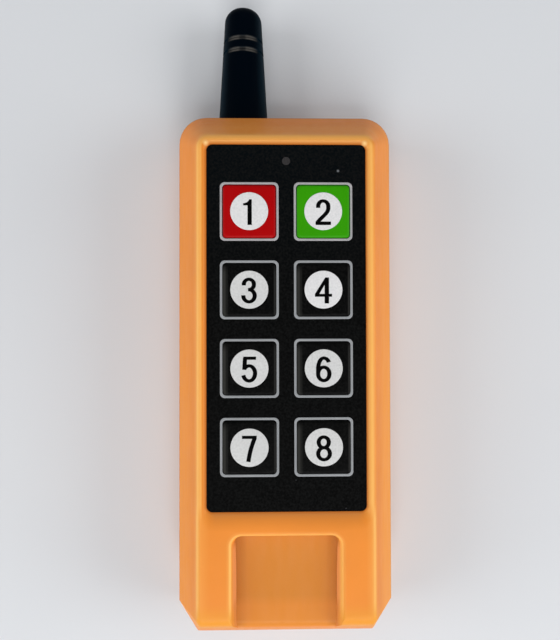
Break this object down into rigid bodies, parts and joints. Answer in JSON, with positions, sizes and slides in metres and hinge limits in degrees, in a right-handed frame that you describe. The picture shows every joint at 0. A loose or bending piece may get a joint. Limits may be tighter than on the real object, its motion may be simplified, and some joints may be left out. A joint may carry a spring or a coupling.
{
  "type": "industrial wireless remote control",
  "caption": "Handheld wireless remote control with a moulded orange case, black key panel with numbered keys, stub antenna, thumb recess and sliding battery door.",
  "frame": {"origin": "middle of the flat back face, on which the remote lies", "axes": "+X to the right seen from the front, +Y towards the antenna, +Z out of the front face"},
  "size_m": [0.0622, 0.1863, 0.032],
  "materials": {
    "case_orange": "fine matt moulded plastic",
    "door_orange": "fine matt moulded plastic",
    "panel_black": "fine grained matt black",
    "window_smoke": "smoked translucent",
    "key_red": "satin",
    "key_green": "satin",
    "key_black": "satin",
    "plunger_black": "moulded",
    "switch_steel": "pressed steel cover",
    "board_green": "solder mask",
    "lamp_clear": "clear epoxy",
    "shield_steel": "tinned sheet",
    "chip_black": "moulded epoxy",
    "crystal_steel": "drawn can",
    "antenna_black": "satin rubber",
    "stud_brass": "turned",
    "nut_steel": "nickel plated",
    "lead_copper": "tinned copper",
    "cell_wrap": "plain printed sleeve",
    "spring_steel": "nickel plated",
    "contact_steel": "nickel plated",
    "screw_steel": "zinc plated"
  },
  "bodies": {
    "housing": {"front_shell": "case_orange", "back_shell": "case_orange", "keypad_panel": "panel_black", "lamp_window": "window_smoke", "tactile_switches": "switch_steel", "circuit_board": "board_green", "status_lamp": "lamp_clear", "radio_module": "shield_steel", "control_chip": "chip_black", "crystal": "crystal_steel", "antenna_sleeve": "antenna_black", "antenna_core": "stud_brass", "antenna_stud": "stud_brass", "antenna_nut": "nut_steel", "antenna_lead": "lead_copper", "battery_cells": "cell_wrap", "battery_springs": "spring_steel", "battery_contacts": "contact_steel", "case_screws": "screw_steel", "board_screws": "screw_steel"},
    "key_1_moving": {"key_1": "key_red", "switch_plunger_1": "plunger_black"},
    "key_2_moving": {"key_2": "key_green", "switch_plunger_2": "plunger_black"},
    "key_3_moving": {"key_3": "key_black", "switch_plunger_3": "plunger_black"},
    "key_4_moving": {"key_4": "key_black", "switch_plunger_4": "plunger_black"},
    "key_5_moving": {"key_5": "key_black", "switch_plunger_5": "plunger_black"},
    "key_6_moving": {"key_6": "key_black", "switch_plunger_6": "plunger_black"},
    "key_7_moving": {"key_7": "key_black", "switch_plunger_7": "plunger_black"},
    "key_8_moving": {"key_8": "key_black", "switch_plunger_8": "plunger_black"},
    "door": {"battery_door": "door_orange"}
  },
  "joints": [
    {"name": "key_1_press", "type": "slide", "parent": "housing", "child": "key_1_moving", "axis": [0, 0, -1], "range_m": [0, 0.0005], "stiffness_N_per_m": 2000, "springref_m": -0.0002},
    {"name": "key_2_press", "type": "slide", "parent": "housing", "child": "key_2_moving", "axis": [0, 0, -1], "range_m": [0, 0.0005], "stiffness_N_per_m": 2000, "springref_m": -0.0002},
    {"name": "key_3_press", "type": "slide", "parent": "housing", "child": "key_3_moving", "axis": [0, 0, -1], "range_m": [0, 0.0005], "stiffness_N_per_m": 2000, "springref_m": -0.0002},
    {"name": "key_4_press", "type": "slide", "parent": "housing", "child": "key_4_moving", "axis": [0, 0, -1], "range_m": [0, 0.0005], "stiffness_N_per_m": 2000, "springref_m": -0.0002},
    {"name": "key_5_press", "type": "slide", "parent": "housing", "child": "key_5_moving", "axis": [0, 0, -1], "range_m": [0, 0.0005], "stiffness_N_per_m": 2000, "springref_m": -0.0002},
    {"name": "key_6_press", "type": "slide", "parent": "housing", "child": "key_6_moving", "axis": [0, 0, -1], "range_m": [0, 0.0005], "stiffness_N_per_m": 2000, "springref_m": -0.0002},
    {"name": "key_7_press", "type": "slide", "parent": "housing", "child": "key_7_moving", "axis": [0, 0, -1], "range_m": [0, 0.0005], "stiffness_N_per_m": 2000, "springref_m": -0.0002},
    {"name": "key_8_press", "type": "slide", "parent": "housing", "child": "key_8_moving", "axis": [0, 0, -1], "range_m": [0, 0.0005], "stiffness_N_per_m": 2000, "springref_m": -0.0002},
    {"name": "door_slide", "type": "slide", "parent": "housing", "child": "door", "axis": [0, -1, 0], "range_m": [0, 0.061]}
  ]
}
